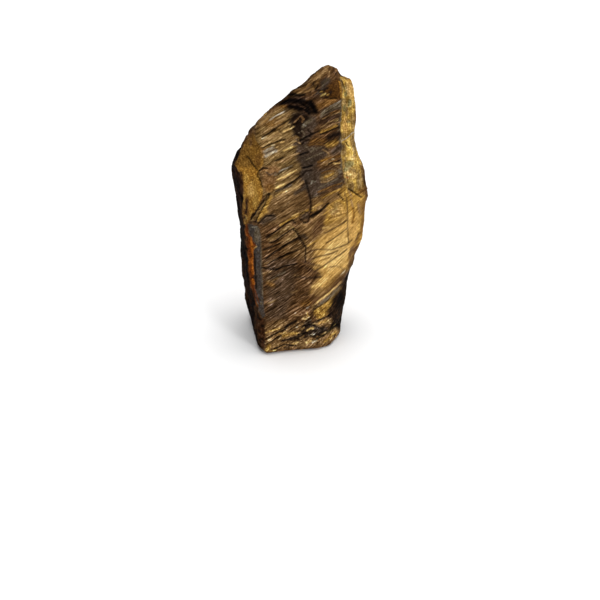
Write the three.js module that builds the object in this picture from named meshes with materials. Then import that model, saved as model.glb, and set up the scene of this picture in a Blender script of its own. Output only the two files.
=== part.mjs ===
// A rough, hand-sized chunk of gold tiger's eye, broken from a seam, standing on its broken foot.
// Millimetres, +Z up, the fibrous broken face towards -Y. The origin is under the middle of the
// stone's bounding box, on the surface that it stands on.
//
// The stone is one solid. Its skin is lofted through ridges: the broken edges that run from the foot
// to the tip, in order round the stone. Between two ridges lies one broken face. The rings of the
// skin climb to the right along the fibres, so that the ledges left by split fibres run along them.

import * as THREE from "three";
import { ImprovedNoise } from "three/addons/math/ImprovedNoise.js";
import { mergeVertices } from "three/addons/utils/BufferGeometryUtils.js";

const SHOULDER_HEIGHT = 85.2; // the last full ring of the skin, just under the tip
const TIP_RISE = 0.5; // how far the blunt tip stands above that ring
const RINGS = 66; // rings of the skin from the foot to the shoulder
const FOOT_EDGE = 1.2; // radius of the worn edge round the foot
const FOOT_FREE = 6; // relief grows from nothing over this height, so that the foot stays flat
const TIP_FREE = 14; // relief dies away over this depth under the tip, where the stone is thin

// Each ridge is a list of [height, x, y], with only the points at which the broken edge turns.
// span is the number of skin cells to the next ridge, and fibrous says that the face from this
// ridge to the next is broken across the fibres, and not covered by the rind. plateTop is where the
// slab of dark host rock ends that still lies on the lower part of that face.
const RIDGES = [
  {
    name: "front left edge",
    span: 8,
    fibrous: true,
    points: [
      [0, -10.2, -14.2], [11.5, -10.6, -13], [25, -11, -12], [42.5, -11.6, -10.3],
      [47, -12.6, -9.6], [52, -10.8, -9], [62, -10.5, -6.5], [66, -12, -4.2], [69, -12.4, -2.2],
      [72, -9.4, -0.6], [75.5, -4.6, 0.6], [79, 0.3, 1.2], [83.5, 5, 1.8], [85.2, 6.6, 2.6],
    ],
  },
  {
    name: "seam line",
    span: 8,
    fibrous: true,
    points: [
      [0, -2.4, -12.6], [11, -2, -12], [21, -0.5, -11], [33.5, 1.7, -9], [45, 2, -7.5],
      [55, 1.7, -6], [64, 0.6, -4], [71, 0, -2.6], [77, 1.5, -1.8], [81.5, 5.2, -0.3],
      [85.2, 7.6, 2.2],
    ],
  },
  {
    name: "right edge of the fibrous face",
    span: 3,
    fibrous: false,
    points: [
      [0, 5.5, -11.6], [6.5, 4.6, -11.4], [14.5, 4.2, -11.2], [20, 10, -8.8], [25.5, 13.2, -7],
      [38.5, 14, -6], [46.5, 14, -5], [53, 13.2, -4], [58.5, 11.7, -3.5], [64.5, 11.4, -2.5],
      [79, 11.5, 0.5], [83, 10.6, 1.8], [85.2, 9.1, 2.9],
    ],
  },
  {
    name: "front edge of the right rind",
    span: 3,
    fibrous: false,
    points: [
      [0, 9.2, -9.8], [11, 10.6, -7.4], [18, 12, -6.6], [24.5, 13.9, -6.2], [31.5, 15.3, -5.5],
      [38, 16.2, -4.5], [52.5, 16, -3], [58, 14.3, -2.5], [64, 13.7, -1], [78, 13.8, 2],
      [82.5, 12.8, 3.3], [85.2, 9.9, 3.7],
    ],
  },
  {
    name: "right edge",
    span: 8,
    fibrous: false,
    points: [
      [0, 12.4, -3], [6, 12.9, -2], [17.5, 14.3, -2.5], [25, 15.8, -3], [29, 17, -3],
      [33, 18.6, -2.5], [47.5, 19.6, -1], [54.5, 18.4, -0.5], [59.5, 16.5, 0], [64, 16, 1],
      [71.5, 16.4, 2], [77.5, 15.8, 3], [82, 14.9, 4.2], [83.8, 11.8, 4.5], [85.2, 9.8, 4.6],
    ],
  },
  {
    name: "back right edge",
    span: 7,
    fibrous: true,
    points: [
      [0, 10, 6], [12, 12.5, 9], [30, 14.5, 11], [48, 16.2, 11.5], [60, 14.8, 10], [75, 13.8, 8],
      [81, 12.4, 6.5], [85.2, 9.2, 5],
    ],
  },
  {
    name: "back ridge",
    span: 8,
    fibrous: true,
    points: [
      [0, -1, 10], [12, 0, 14], [30, 2, 17], [45, 4, 17.5], [58, 7, 15], [70, 9, 11.5],
      [80, 10, 7.6], [85.2, 8.2, 5.3],
    ],
  },
  {
    name: "back left edge",
    span: 5,
    fibrous: false,
    points: [
      [0, -12, 8.5], [12, -14.5, 12], [30, -15, 14.5], [45, -15, 15], [53, -12, 14],
      [60, -7, 12.5], [70, 0.5, 9.5], [80, 6.6, 6.8], [85.2, 7.4, 5.1],
    ],
  },
  {
    name: "left edge",
    span: 7,
    fibrous: false,
    points: [
      [0, -14.8, 2], [6.5, -16.8, 5.5], [15, -17.8, 7], [35, -19, 8.5], [43, -19.8, 9],
      [50, -20.7, 9], [55.5, -19.6, 8], [59, -17.4, 6.4], [61.5, -14.6, 5.2], [70, -9.2, 5.4],
      [78, -1, 5.7], [85.2, 6.4, 4.5],
    ],
  },
  {
    name: "rim of the left rind",
    span: 5,
    fibrous: false,
    plateTop: 43,
    points: [
      [0, -12.8, -10.4], [10, -12.9, -9], [16, -13.8, -8], [22, -15.1, -7], [39.5, -16.6, -4.5],
      [44, -15.8, -4], [55, -16.9, -3], [58, -18.4, -2.5], [63.5, -16.6, -1], [67.5, -15, 1],
      [74, -8.6, 2.6], [83, 2.6, 3.8], [85.2, 6, 3.6],
    ],
  },
];

const noise = new ImprovedNoise();

// Smooth noise of about -1 to 1, whose lumps are size millimetres across.
function lumps(x, y, z, size, seed) {
  return noise.noise(x / size + seed, y / size + 2 * seed, z / size + 3 * seed);
}

// A smooth step from 0 to 1 as value goes from start to end.
function smoothStep(value, start, end) {
  return THREE.MathUtils.smoothstep(value, start, end);
}

// Heights of the rings: three close ones round the worn edge of the foot, and then even steps.
const EDGE_RINGS = [0, 0.25, 0.65];
function ringHeight(ring) {
  if (ring < EDGE_RINGS.length) return EDGE_RINGS[ring];
  const step = (ring - EDGE_RINGS.length) / (RINGS - 1 - EDGE_RINGS.length);
  return FOOT_EDGE + step * (SHOULDER_HEIGHT - FOOT_EDGE);
}

// Climb of a ring to the right, level at the foot and at the tip.
const FIBRE_CLIMB = 0.58;
function climbAt(height) {
  return FIBRE_CLIMB * smoothStep(height, 2, 24) * (1 - smoothStep(height, 34, 66));
}

// Where a ridge passes a height.
function ridgeAt(points, height) {
  const above = Math.max(1, points.findIndex((point) => point[0] >= height));
  const [low, high] = [points[above - 1], points[above]];
  const share = (height - low[0]) / (high[0] - low[0]);
  const at = low.map((value, k) => value + share * (high[k] - value));
  return new THREE.Vector3(at[1], at[2], at[0]);
}

// One ring of the skin before its relief, with the same number of points at every height.
// Each point knows how far it lies across its face, from 0 at one ridge to 1 at the next.
function ringAt(height) {
  const corners = RIDGES.map((ridge) => {
    const level = ridgeAt(ridge.points, height);
    return ridgeAt(ridge.points, height + climbAt(height) * level.x);
  });
  return RIDGES.flatMap((ridge, i) => {
    const next = corners[(i + 1) % corners.length];
    return Array.from({ length: ridge.span }, (_, step) => {
      const across = step / ridge.span;
      return { at: corners[i].clone().lerp(next, across), across, ridge };
    });
  });
}

// Ledges where the stone split along its fibres. They drop off sharply below, come at an uneven
// pitch, and are deeper in some places than in others.
const LEDGE_PITCH = 7.4;
const LEDGE_DEPTH = 1;
const DROP_OFF = 0.2; // share of the pitch in which a ledge drops off
function fibreLedges({ x, y, z }) {
  const level = (z - FIBRE_CLIMB * x) / LEDGE_PITCH + 0.8 * lumps(x, y, z, 24, 5.3);
  const rise = level - Math.floor(level);
  const strength = THREE.MathUtils.clamp(0.6 + 0.9 * lumps(x, y, z, 13, 8.1), 0.1, 1);
  return LEDGE_DEPTH * strength * (Math.min(1, rise / DROP_OFF) * (1.25 - rise) - 0.5);
}

// Lumps of two sizes everywhere, and pits in the rind.
const LUMP_HEIGHT = 0.9;
const KNOB_HEIGHT = 0.45;
const PIT_DEPTH = 1.1;
function roughness({ x, y, z }, fibrous) {
  const broad = LUMP_HEIGHT * lumps(x, y, z, 16, 1.7);
  const knobs = KNOB_HEIGHT * lumps(x, y, z, 5.5, 4.2);
  const pits = Math.max(0, lumps(x, y, z, 4.6, 9.6) - 0.22);
  return fibrous ? broad + 0.6 * knobs : broad + 1.3 * knobs - PIT_DEPTH * pits;
}

const PLATE_RISE = 0.8; // thickness of the slab left on the lower left
function relief(point, height) {
  const { at, across, ridge } = point;
  const ledges = ridge.fibrous ? fibreLedges(at) * Math.sin(Math.PI * across) ** 0.8 : 0;
  const plate = ridge.plateTop && across > 0 ? PLATE_RISE * smoothStep(ridge.plateTop - at.z, 0, 1) : 0;
  const fade = smoothStep(height, 0, FOOT_FREE) * smoothStep(SHOULDER_HEIGHT - height, -3, TIP_FREE);
  return fade * (ledges + plate + roughness(at, ridge.fibrous));
}

// How far the worn edge of the foot draws the skin in at a height.
function footInset(height) {
  const below = Math.max(0, 1 - height / FOOT_EDGE);
  return FOOT_EDGE * (1 - Math.sqrt(1 - below ** 2));
}

// The outward direction in plan at one point of a ring.
function outwards(ring, i) {
  const before = ring[(i - 1 + ring.length) % ring.length].at;
  const after = ring[(i + 1) % ring.length].at;
  return new THREE.Vector3(after.y - before.y, before.x - after.x, 0).normalize();
}

function stoneGeometry() {
  const position = [];
  const index = [];
  const round = RIDGES.reduce((sum, ridge) => sum + ridge.span, 0);
  for (let k = 0; k < RINGS; k++) {
    const height = ringHeight(k);
    const ring = ringAt(height);
    ring.forEach((point, i) => {
      const push = relief(point, height) - footInset(height);
      position.push(...point.at.clone().addScaledVector(outwards(ring, i), push));
    });
  }
  for (let k = 0; k < RINGS - 1; k++) {
    for (let i = 0; i < round; i++) {
      const next = (i + 1) % round;
      const [a, b] = [k * round + i, k * round + next];
      const [c, d] = [a + round, b + round];
      index.push(a, b, d, a, d, c);
    }
  }
  closeRing(position, index, 0, round, 0, false);
  closeRing(position, index, (RINGS - 1) * round, round, TIP_RISE, true);
  const geometry = new THREE.BufferGeometry();
  geometry.setAttribute("position", new THREE.Float32BufferAttribute(position, 3));
  geometry.setIndex(index);
  return mergeVertices(geometry, 1e-4);
}

// Closes a ring of the skin with a fan round its middle, which stands rise above the ring.
function closeRing(position, index, first, round, rise, upwards) {
  const middle = new THREE.Vector3();
  for (let i = first; i < first + round; i++) {
    middle.add(new THREE.Vector3().fromArray(position, 3 * i));
  }
  middle.divideScalar(round);
  const centre = position.length / 3;
  position.push(middle.x, middle.y, middle.z + rise);
  for (let i = 0; i < round; i++) {
    const [a, b] = [first + i, first + ((i + 1) % round)];
    if (upwards) index.push(a, b, centre);
    else index.push(b, a, centre);
  }
}

// Moves the stone so that the middle of its box is over the origin.
function centreOnOrigin(geometry) {
  geometry.computeBoundingBox();
  const middle = geometry.boundingBox.getCenter(new THREE.Vector3());
  geometry.translate(-middle.x, -middle.y, 0);
  geometry.computeVertexNormals();
  return geometry;
}

const goldBrownStone = new THREE.MeshStandardMaterial({
  color: 0x7a5426,
  roughness: 0.45,
  metalness: 0,
  flatShading: true,
});

const stone = new THREE.Mesh(centreOnOrigin(stoneGeometry()), goldBrownStone);
stone.name = "tigers_eye_stone";

const tigersEye = new THREE.Group();
tigersEye.add(stone);

export default tigersEye;
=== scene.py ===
"""A rough, upright chunk of gold tiger's eye on a white studio floor.

The stone's fine surface is made from its CAD solid: the skin is subdivided, then fibre ribs, split blocks,
cracks, pits and grain are pressed into it. Marks that only the front shows are placed in the plane of the
picture, 600 by 600, and laid on the faces that the camera sees. The skin's points and the heights of its
relief are in millimetres, places in the picture are in pixels, and Blender gets metres.
"""

import math

import bmesh
import bpy
import numpy as np
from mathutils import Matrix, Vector


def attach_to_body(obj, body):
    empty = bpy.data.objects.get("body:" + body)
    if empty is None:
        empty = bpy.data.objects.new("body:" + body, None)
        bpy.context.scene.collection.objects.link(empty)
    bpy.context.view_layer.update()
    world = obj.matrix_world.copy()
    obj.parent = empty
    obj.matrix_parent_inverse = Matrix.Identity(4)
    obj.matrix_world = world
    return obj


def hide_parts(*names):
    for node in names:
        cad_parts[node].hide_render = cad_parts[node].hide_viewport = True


NODE = "tigers_eye_stone"
MM = 0.001

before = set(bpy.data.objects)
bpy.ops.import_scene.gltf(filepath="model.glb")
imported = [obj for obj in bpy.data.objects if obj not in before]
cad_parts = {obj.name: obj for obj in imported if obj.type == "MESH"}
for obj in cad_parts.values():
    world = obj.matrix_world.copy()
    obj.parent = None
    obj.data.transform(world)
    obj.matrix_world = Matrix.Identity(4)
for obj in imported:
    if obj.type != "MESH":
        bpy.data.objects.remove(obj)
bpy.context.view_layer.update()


def new_object(name, data):
    """A new object, linked to the scene."""
    made = bpy.data.objects.new(name, data)
    bpy.context.scene.collection.objects.link(made)
    return made


# The camera

PICTURE = 600
LENS_MM = 100
SENSOR_MM = 36
LOOK_DOWN = math.radians(33)
DISTANCE_MM = 505
TARGET_MM = np.array((0.27, -1.71, 10.4))
SIGHT = np.array((0, math.cos(LOOK_DOWN), -math.sin(LOOK_DOWN)))
PICTURE_UP = np.array((0, math.sin(LOOK_DOWN), math.cos(LOOK_DOWN)))
EYE_MM = TARGET_MM - DISTANCE_MM * SIGHT

camera_data = bpy.data.cameras.new("camera")
camera_data.lens = LENS_MM
camera_data.sensor_width = SENSOR_MM
camera = new_object("camera", camera_data)
camera.location = EYE_MM * MM
camera.rotation_euler = (math.pi / 2 - LOOK_DOWN, 0, 0)
bpy.context.scene.camera = camera


def picture_of(points_mm):
    """Where points of the stone lie in the picture, in pixels from its top left."""
    from_eye = points_mm - EYE_MM
    depth = from_eye @ SIGHT
    scale = PICTURE * LENS_MM / SENSOR_MM / depth
    right = scale * from_eye[:, 0]
    up = scale * (from_eye @ PICTURE_UP)
    return np.stack((PICTURE / 2 + right, PICTURE / 2 - up), 1)


# Noise and masks

CELL_MIX = np.array((73856093, 19349663, 83492791), dtype=np.int64)
SEED_MIX = 2654435761
LAST_MIX = 1274126177
OCTAVE_SHIFT = 17.3
CELL_JITTER = 0.4
STROKE_CORE = 0.1
STROKE_REACH = 0.8
THINNEST_PIXELS = 0.75


def smooth(value, start, end):
    """0 up to start, 1 from end on, and an eased climb between them."""
    part = np.clip((value - start) / (end - start), 0, 1)
    return part * part * (3 - 2 * part)


def corner_value(cell, seed):
    """A fixed value of -1 to 1 for each cell and seed."""
    mixed = (cell * CELL_MIX).sum(-1) + seed * SEED_MIX
    mixed = (mixed ^ (mixed >> 13)) * LAST_MIX
    mixed = (mixed ^ (mixed >> 16)) & 0xFFFFFF
    return mixed / 0x7FFFFF - 1


def value_noise(points, seed):
    """Smooth noise of -1 to 1 with one lump to a unit."""
    cell = np.floor(points).astype(np.int64)
    part = points - cell
    part = part * part * (3 - 2 * part)
    total = np.zeros(len(points))
    for corner in np.ndindex(2, 2, 2):
        weight = np.prod(np.where(corner, part, 1 - part), axis=1)
        total += weight * corner_value(cell + corner, seed)
    return total


def fractal(points, seed, octaves, gain=0.55):
    """Noise with ever finer lumps on its lumps. Each seed gives its own pattern."""
    total, weight, strength = np.zeros(len(points)), 0, 1.0
    for octave in range(octaves):
        total += strength * value_noise(points * 2**octave + OCTAVE_SHIFT * octave, seed + octave)
        weight += strength
        strength *= gain
    return total / weight


def cells(points, seed):
    """Broken blocks: for each point the random value of its cell, and its distance from the cell's edge."""
    home = np.floor(points).astype(np.int64)
    best = np.full(len(points), np.inf)
    second = np.full(len(points), np.inf)
    value = np.zeros(len(points))
    for offset in np.ndindex(3, 3, 3):
        cell = home + offset - 1
        jitter = np.stack([corner_value(cell, seed + k) for k in range(3)], 1) * CELL_JITTER + 0.5
        gap = np.linalg.norm(points - cell - jitter, axis=1)
        closer = gap < best
        second = np.where(closer, best, np.minimum(second, gap))
        value = np.where(closer, corner_value(cell, seed + 5), value)
        best = np.where(closer, gap, best)
    return value, second - best


def distance_to_line(places, line, closed=False):
    line = np.array(line, dtype=float)
    ends = np.roll(line, -1, 0) if closed else line[1:]
    nearest = np.full(len(places), np.inf)
    for start, end in zip(line, ends):
        along = end - start
        part = np.clip((places - start) @ along / (along @ along), 0, 1)
        nearest = np.minimum(nearest, np.linalg.norm(places - start - part[:, None] * along, axis=1))
    return nearest


def inside(places, outline):
    """True where places lie in a closed outline."""
    outline = np.array(outline, dtype=float)
    odd = np.zeros(len(places), dtype=bool)
    for (x0, y0), (x1, y1) in zip(outline, np.roll(outline, -1, 0)):
        if y0 == y1:
            continue
        crosses = (places[:, 1] > min(y0, y1)) & (places[:, 1] <= max(y0, y1))
        odd ^= crosses & (places[:, 0] < x0 + (places[:, 1] - y0) * (x1 - x0) / (y1 - y0))
    return odd


def patch(places, outline, edge):
    """1 inside a closed outline and 0 outside it, going over within edge pixels."""
    away = distance_to_line(places, outline, closed=True)
    away = np.where(inside(places, outline), away, -away)
    return smooth(away, -edge / 2, edge / 2)


def stroke(places, line, width):
    """1 along a line of a width in pixels, with soft edges."""
    faded = max(STROKE_REACH * width, THINNEST_PIXELS)
    return 1 - smooth(distance_to_line(places, line), width * STROKE_CORE, faded)


# The skin: the CAD solid, subdivided

# The fibres rise to the right by CLIMB, and by more than that low on the right of the seam.
SEAM_X_MM = 1.5
CLIMB = 0.62
STEEPER_CLIMB = 0.26
STEEPER_ENDS_MM = (42, 60)

FRONT_FACING = 0.15
WELD = 1e-6
JOIN_ANGLE = math.radians(60)
SUBDIVISIONS = 2


def split_across_fibres(mesh):
    """Halves the front's edges that cross the fibres, so that thin marks stay thin."""
    work = bmesh.new()
    work.from_mesh(mesh)
    eye = Vector(EYE_MM * MM)
    across = Vector((-CLIMB, 0, 1)).normalized()
    along = Vector((1, 0, CLIMB)).normalized()
    facing = set()
    for face in work.faces:
        if face.normal.dot((eye - face.calc_center_median()).normalized()) > FRONT_FACING:
            facing.add(face.index)
    chosen = []
    for edge in work.edges:
        run = edge.verts[1].co - edge.verts[0].co
        crosses = abs(run.dot(across)) > abs(run.dot(along))
        if crosses and all(face.index in facing for face in edge.link_faces):
            chosen.append(edge)
    bmesh.ops.subdivide_edges(work, edges=chosen, cuts=1)
    work.to_mesh(mesh)
    work.free()


def fine_skin():
    """The solid's own mesh as a new object, with its facets rounded and divided."""
    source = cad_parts[NODE]
    mesh = source.data.copy()
    skin = new_object("stone_skin", mesh)
    work = bmesh.new()
    work.from_mesh(mesh)
    bmesh.ops.remove_doubles(work, verts=work.verts, dist=WELD)
    bmesh.ops.join_triangles(
        work, faces=work.faces, angle_face_threshold=JOIN_ANGLE, angle_shape_threshold=JOIN_ANGLE
    )
    work.to_mesh(mesh)
    work.free()
    mesh.materials.clear()
    modifier = skin.modifiers.new("fine", "SUBSURF")
    modifier.levels = SUBDIVISIONS
    bpy.context.view_layer.update()
    fine = bpy.data.meshes.new_from_object(skin.evaluated_get(bpy.context.evaluated_depsgraph_get()))
    skin.modifiers.clear()
    split_across_fibres(fine)
    skin.data = fine
    return skin


def vectors_of(items, field):
    values = np.empty(len(items) * 3)
    items.foreach_get(field, values)
    return values.reshape(-1, 3)


skin = fine_skin()
skin_mm = vectors_of(skin.data.vertices, "co") / MM
outward = vectors_of(skin.data.vertex_normals, "vector")
place = picture_of(skin_mm)
to_eye = EYE_MM - skin_mm
to_eye /= np.linalg.norm(to_eye, axis=1)[:, None]

# 1 on the faces that the camera sees, 0 on the rest, and between the two along the rim.
seen = smooth((outward * to_eye).sum(1), -0.1, 0.12)


# Where each kind of surface lies

def fibre_places(points):
    """Along, across and through the fibres, in millimetres. They climb more steeply low on the right."""
    x, y, z = points.T
    from_seam = x - SEAM_X_MM
    steeper = STEEPER_CLIMB * smooth(from_seam, 0, 4) * (1 - smooth(z, *STEEPER_ENDS_MM))
    waver = 0.7 * fractal(points / 14, 31, 2)
    across = z - (CLIMB + steeper) * from_seam + waver
    along = x + CLIMB * z
    return np.stack((along, across, y + 0.4 * across), 1)


fibre = fibre_places(skin_mm)


def fibre_noise(size_mm, seed, octaves):
    """Noise in lumps of a length, a width and a depth, drawn out along the fibres."""
    return fractal(fibre / size_mm, seed, octaves)


def curled_noise(size_mm, curl_size_mm, curl, seed, octaves):
    """Noise whose lumps are bent by a second noise."""
    bend = np.stack([fractal(skin_mm / curl_size_mm, seed + k, 2) for k in range(3)], 1)
    return fractal(skin_mm / size_mm + curl * bend, seed + 10, octaves)


# Outlines and lines are in picture pixels. Noise frays their edges, so that no mark has a clean rim, and
# feathered places fray along the fibres.
FRAY = 1.3
LITTLE_FRAY = 0.6
FEATHER = 5
FIBRES_IN_PICTURE = (0.86, -0.5)
fray = np.stack([fractal(skin_mm / 2.2, 41 + k, 3) for k in range(2)], 1)
frayed = place + FRAY * fray
scarcely_frayed = place + LITTLE_FRAY * fray
feather = fibre_noise((9.0, 0.8, 4.0), 43, 3)
feathered = frayed + FEATHER * feather[:, None] * FIBRES_IN_PICTURE

OUTLINES = {
    "ochre": [
        (243, 146), (246, 139), (250, 132), (254, 130), (256, 140), (262, 150), (264, 158), (263, 165),
        (258, 171), (260, 180), (263, 190), (262, 200), (257, 207), (250, 218), (248, 223), (244, 224),
        (242, 212), (242, 200), (243, 190), (242, 180), (240, 172), (235, 170), (235, 166), (239, 158),
        (240, 150),
    ],
    # Painted shade: the left side, laid nearly black.
    "shaded left side": [
        (243, 147), (238, 146), (226, 158), (226, 190), (232, 240), (238, 300), (252, 352), (264, 354),
        (261, 340), (258, 325), (255, 310), (251, 296), (248, 284), (245, 262), (244, 240), (243, 224),
        (243, 205), (244, 192), (243, 180), (241, 172), (234, 170), (234, 166), (238, 159), (240, 152),
    ],
    "rust": [
        (245, 224), (248, 224), (249, 232), (252, 240), (256, 246), (253, 251), (254, 262), (254, 275),
        (255, 287), (257, 300), (259, 308), (257, 307), (254, 297), (251, 286), (249, 272), (247.5, 255),
        (246, 240),
    ],
    "slate": [
        (248, 224), (257, 226), (260, 230), (261, 240), (261.5, 260), (262.5, 280), (263.5, 300), (265, 316),
        (262, 319), (259, 312), (256, 300), (255, 287), (254, 270), (253, 251), (256, 246), (252, 239),
        (249, 231),
    ],
    "red foot": [(255, 306), (261, 318), (265, 320), (266, 346), (262, 350), (258, 338), (255, 322)],
    "right rind": [
        (341, 76), (347, 74), (356, 78), (360, 110), (359, 150), (366, 160), (370, 185), (362, 190),
        (352, 191), (349, 192), (346, 186), (344, 176), (342, 165), (341, 150), (341, 130), (342, 110),
        (341.5, 92),
    ],
    "gold": [
        (317, 240), (321, 228), (325, 214), (331, 204), (340, 199), (350, 195), (364, 192), (372, 210),
        (368, 232), (358, 246), (356, 258), (352, 269), (345, 273), (337, 284), (325, 296), (314, 303),
        (309, 296), (310, 285), (318, 277), (314, 266), (308, 262), (313, 252),
    ],
    "brown glass": [(329, 84), (333, 80), (339, 80), (341, 90), (341, 99), (333, 99), (322, 100), (323, 92)],
    "slate lens": [
        (320, 117), (321, 112), (326, 108), (333, 105), (341, 101), (341, 107), (334, 110), (328, 113),
    ],
    "dark corner": [
        (342, 282), (354, 258), (352, 290), (348, 305), (345, 324), (339, 332), (330, 329), (327, 318),
        (328, 309), (332, 299), (337, 290),
    ],
}

# Areas that change the relief and the contrast
HEART = [
    (294, 113), (306, 112), (316, 116), (318, 124), (312, 136), (308, 146), (328, 147), (328, 157),
    (318, 162), (318, 170), (342, 168), (346, 188), (330, 186), (313, 200), (306, 194), (300, 182),
    (298, 160), (293, 136), (290, 124),
]
FLAT_BLOCKS = [
    [(261, 167), (277, 165), (281, 168), (277, 178), (273, 190), (264, 191), (262, 180)],
    [(330, 204), (338, 198), (345, 201), (347, 214), (338, 218), (331, 216)],
]
LOW_LEFT = [(262, 226), (300, 222), (312, 250), (318, 278), (310, 320), (264, 324)]
FOOT = [(262, 328), (290, 318), (316, 304), (332, 306), (350, 320), (350, 354), (262, 356)]


def mark(name, edge=2.0):
    """1 in a named area of the front, with an edge of some pixels."""
    return patch(frayed, OUTLINES[name], edge) * seen


# The ochre ends where the surface turns back, and the left face up to the shoulder gets painted shade that
# makes it nearly black.
ochre = mark("ochre", 1.5) * (1 - smooth(skin_mm[:, 1], -4.5, -1.5))
rust = mark("rust")
slate = mark("slate", 1.5)
red_foot = mark("red foot", 3)
left_face = smooth(-outward[:, 0], 0.72, 0.86) * (1 - smooth(skin_mm[:, 2], 62, 68))
shaded_left_side = np.maximum(mark("shaded left side"), left_face) * np.clip(1 - ochre - rust - slate - red_foot, 0, 1)
right_rind = mark("right rind", 1.5)
gold = mark("gold", 9)
glass = mark("brown glass", 3)
dark_corner = patch(feathered, OUTLINES["dark corner"], 4) * seen

# Past the front, the sides have the rind and the back has the fibres.
unseen = 1 - seen
side = smooth(np.abs(outward[:, 0]) + 0.25 * fractal(skin_mm / 8, 51, 3), 0.45, 0.7)
rind = np.clip(unseen * side + shaded_left_side + rust + right_rind, 0, 1)
flat_blocks = sum(patch(frayed, outline, 3) for outline in FLAT_BLOCKS) * seen
plain_faces = np.clip(ochre + slate + red_foot + glass + 0.6 * dark_corner + 0.75 * flat_blocks, 0, 1)
fibrous = np.clip(1 - rind - plain_faces, 0, 1)

heart = patch(frayed, HEART, 7) * seen
crumbly = patch(frayed, FOOT, 6) * seen
fibrous *= 1 - 0.55 * heart


# Relief, in millimetres along the skin's normal

BLOCK_STEP = 0.18
SMALL_BLOCK_STEP = 0.1
BLOCK_GAP = 0.22
RIB = 0.15
FINE_RIB = 0.07
RIND_LUMP = 0.32
RIND_GRAIN = 0.1
RIND_PIT = 0.3
SIDE_CRACK = 0.25
PLAIN_LUMP = 0.12
PLAIN_GRAIN = 0.03
OCHRE_PIT = 0.18
SPLIT = 0.4

block, block_edge = cells(fibre / (12.0, 1.5, 5.0) + 0.3 * fractal(skin_mm / 3, 61, 2)[:, None], 71)
small_block = cells(fibre / (3.4, 0.8, 3.0) + 0.3 * fractal(skin_mm / 2, 63, 2)[:, None], 171)[0]
block_gap = 1 - smooth(block_edge, 0, 0.14)
split_blocks = BLOCK_STEP * block + SMALL_BLOCK_STEP * small_block - BLOCK_GAP * block_gap
streaks = fibre_noise((12.0, 0.75, 4.0), 181, 3)
threads = fibre_noise((7.0, 0.34, 3.0), 191, 2)
ribs = 1 - 2.4 * np.abs(fibre_noise((11.0, 0.75, 4.0), 81, 3))
fine_ribs = fibre_noise((5.0, 0.36, 3.0), 91, 2)
swirls = curled_noise(2.0, 1.6, 0.8, 301, 3)
crumbs = curled_noise(1.1, 1.3, 0.6, 321, 2)
lumps = fractal(skin_mm / 2.6, 101, 4)
grain = fractal(skin_mm / 0.9, 111, 2)
pits = smooth(fractal(skin_mm / 1.5, 121, 2), 0.25, 0.5)

# The gold faces are smoother than the rest. The sides have cracks where a noise is close to 0.
smoother = 1 - 0.75 * gold
side_noise = fractal(skin_mm / (6.0, 6.0, 9.0), 261, 4)
side_cracks = (1 - smooth(np.abs(side_noise), 0, 0.03)) * unseen * side
rough_relief = fibrous * smoother * (split_blocks + RIB * ribs + FINE_RIB * fine_ribs)
rough_relief += rind * (RIND_LUMP * lumps + RIND_GRAIN * grain - RIND_PIT * pits) * (1 - 0.5 * right_rind)
rough_relief -= SIDE_CRACK * side_cracks
rough_relief += plain_faces * (PLAIN_LUMP * lumps + PLAIN_GRAIN * grain - OCHRE_PIT * pits * ochre)

# Splits are the dark open lines between the blocks: a width in pixels, then the points of the line.
SPLITS = [
    (1.9, (306, 181), (308, 190), (310, 198), (311, 206), (311, 213)),
    (3.0, (311, 217), (316, 214), (321, 210)),
    (2.0, (321, 210), (325, 206), (329, 203)),
    (1.5, (300, 215), (303, 212), (308, 213), (310, 217), (308, 222), (304, 223), (300, 219)),
    (2.1, (270, 243), (275, 241.5), (284, 235), (293, 228.5)),
    (2.3, (293, 228.5), (297, 233), (300, 238), (303, 243), (306, 248)),
    (2.0, (306, 247), (305.5, 255), (306, 262)),
    (2.2, (267, 238), (275, 232), (284, 226), (292, 220), (295, 223)),
    (2.2, (266, 259), (277, 251), (285, 246), (298, 239)),
    (1.4, (264, 250), (272, 247), (280, 243)),
    (1.5, (262, 268), (270, 269), (277, 270), (285, 266), (297, 264)),
    (1.5, (270, 262), (284, 256), (298, 250)),
    (2.1, (300, 141), (307, 137), (313, 133.5), (320, 131)),
    (2.0, (321, 134.5), (330, 131), (340, 127)),
    (2.1, (300, 155), (308, 152)),
    (2.1, (303, 168), (308, 167), (312, 165)),
    (1.8, (276, 161), (283, 158)),
    (1.7, (247, 156), (251, 162), (257, 170)),
    (1.7, (257, 176), (258, 171), (263, 168), (268, 169)),
    (1.7, (251, 219), (257, 210), (263, 203), (269, 193)),
    (1.5, (255, 222), (260, 213), (266, 204), (270, 194)),
    (1.7, (258, 224), (262, 220), (266, 216), (273, 215.5)),
    (1.4, (257, 176), (260, 181), (262, 187)),
    (1.9, (349, 189), (355, 193), (361, 197)),
    (1.5, (346, 142), (347, 144), (349, 146)),
    (2.0, (316, 322), (326, 317), (332, 313)),
    (1.8, (316, 340), (326, 334), (333, 328), (338, 324)),
    (1.5, (266, 339), (277, 333), (287, 328)),
    (1.5, (267, 344), (276, 339), (282, 336)),
    (1.4, (322, 98), (329, 98.5), (336, 98)),
    (1.4, (290, 128), (296, 123), (300, 118)),
    (1.4, (270, 131), (280, 125), (290, 119)),
    (1.4, (262, 137), (269, 133), (276, 129)),
    (1.2, (262, 148), (273, 143), (285, 139)),
    (1.5, (284, 187), (292, 182), (300, 176)),
    (1.4, (338, 194), (341, 197), (344, 201)),
    (1.5, (303, 327), (309, 325), (316, 326), (323, 330)),
    (1.6, (298, 335), (306, 333), (312, 336), (320, 335)),
    (1.4, (288, 331), (297, 326), (304, 320)),
    (1.4, (305, 341), (310, 337), (316, 338)),
    (1.4, (274, 349), (284, 345), (296, 346)),
]
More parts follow.
